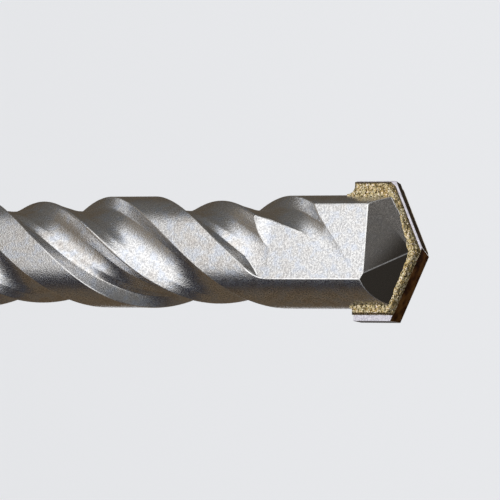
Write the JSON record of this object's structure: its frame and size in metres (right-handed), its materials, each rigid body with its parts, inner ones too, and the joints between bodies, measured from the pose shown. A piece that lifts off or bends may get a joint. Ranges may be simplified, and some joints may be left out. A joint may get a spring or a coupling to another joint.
{
  "type": "masonry drill bit",
  "caption": "Masonry drill bit with a slotted hammer-drill shank, right-hand flutes and a carbide plate brazed across its milled head.",
  "frame": {"origin": "centre of the shank's rear face, on the drill axis", "axes": "+Z along the drill axis to the point, -Y out of one of the head's two milled flats"},
  "size_m": [0.0104, 0.01, 0.16],
  "materials": {
    "steel": "shot-blasted hardened steel, grey, a little brown with temper colour and oil",
    "carbide": "ground cemented carbide, dark grey on the ground faces, bare and pale at its lower corner",
    "filler_metal": "rough, granular gold-coloured brazing metal"
  },
  "bodies": {
    "root": {"steel_body": "steel", "carbide_tip": "carbide", "braze": "filler_metal"}
  },
  "joints": []
}
